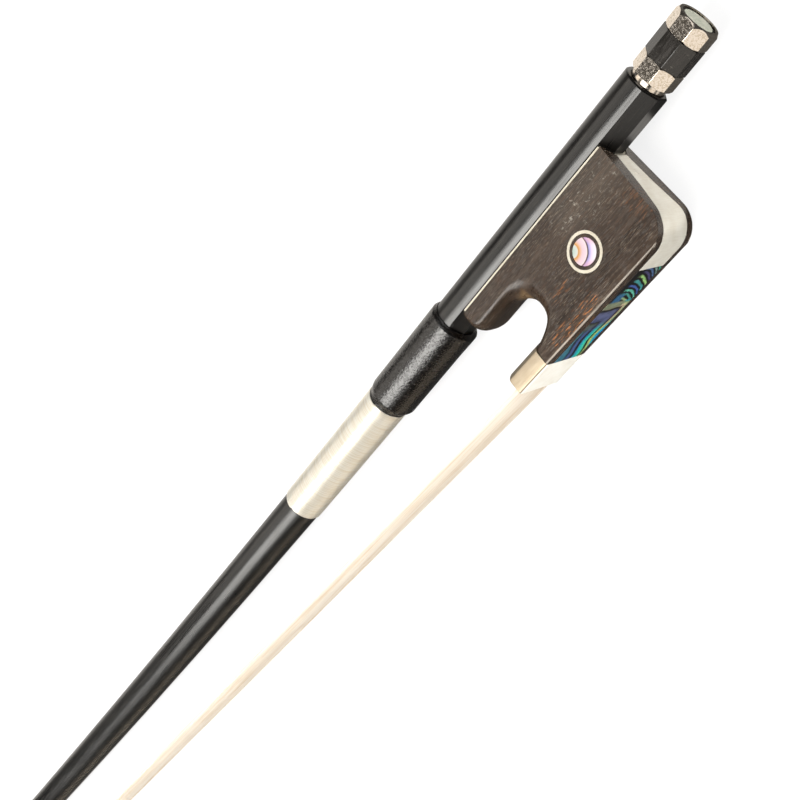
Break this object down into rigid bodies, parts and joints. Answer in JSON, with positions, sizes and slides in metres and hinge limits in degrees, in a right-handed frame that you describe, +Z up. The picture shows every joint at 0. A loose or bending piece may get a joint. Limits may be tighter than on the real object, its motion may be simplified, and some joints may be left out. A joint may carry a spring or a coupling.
{
  "type": "cello bow",
  "caption": "Full-size cello bow with a cambered black stick, ebony frog with shell slide, screw button, leather grip, silver winding and horsehair ribbon.",
  "frame": {"origin": "middle of the footprint of the bow lying on its side, on the surface that it lies on", "axes": "+X along the handle from the button to the tip, +Y towards the hair side, +Z up, towards the near cheek of the frog"},
  "size_m": [0.7152, 0.0482, 0.0146],
  "materials": {
    "black_lacquer": "black lacquered hardwood, satin, faint lengthwise grain",
    "ebony": "dark brown ebony, polished, fine pale grain streaks",
    "nickel_silver": "polished warm nickel silver with fine wear marks",
    "silver_wire": "bright silver wire, closely wound",
    "black_leather": "black pebbled leather, slightly glossy",
    "horsehair": "pale cream horsehair, combed flat",
    "knot_hair": "bound horsehair knot, resin darkened",
    "abalone": "abalone shell, blue-green flames over dark lines, polished",
    "eye_shell": "pink and white pearl shell, polished",
    "pale_shell": "pale cream-green pearl shell, polished",
    "brass": "plain turned brass",
    "steel": "plain steel screw",
    "maple": "unfinished maple",
    "bone": "pale bone, satin"
  },
  "bodies": {
    "stick": {"stick": "black_lacquer", "head_liner": "ebony", "head_plate": "bone", "head_plug": "maple", "head_hair_knot": "knot_hair", "grip_leather": "black_leather", "winding": "silver_wire", "hair_ribbon": "horsehair"},
    "frog": {"frog_block": "ebony", "groove_lining": "nickel_silver", "lining_pin_back": "nickel_silver", "lining_pin_front": "nickel_silver", "heel_plate": "nickel_silver", "heel_plate_pin": "nickel_silver", "slide_shell": "abalone", "slide_backing": "ebony", "ferrule": "nickel_silver", "frog_hair_knot": "knot_hair", "frog_plug": "maple", "spread_wedge": "maple", "eye_ring_near": "nickel_silver", "eye_ring_far": "nickel_silver", "eye_shell_near": "eye_shell", "eye_shell_far": "eye_shell", "eyelet": "brass"},
    "adjuster": {"button_ring_inner": "nickel_silver", "button_core": "ebony", "button_ring_outer": "nickel_silver", "button_shell": "pale_shell", "adjuster_screw": "steel"}
  },
  "joints": [
    {"name": "button_turn", "type": "hinge", "parent": "stick", "child": "adjuster", "pos_m": [-0.34275, -0.00128, 0.00731], "axis": [1, 0, 0], "range_deg": [-1800, 2160]},
    {"name": "frog_slide", "type": "slide", "parent": "stick", "child": "frog", "axis": [-1, 0, 0], "range_m": [-0.0035, 0.0042], "deforming": ["hair_ribbon"]}
  ],
  "couplings": [
    {"joint": "button_turn", "follows": "frog_slide", "rad_per_m": 8975.9}
  ]
}
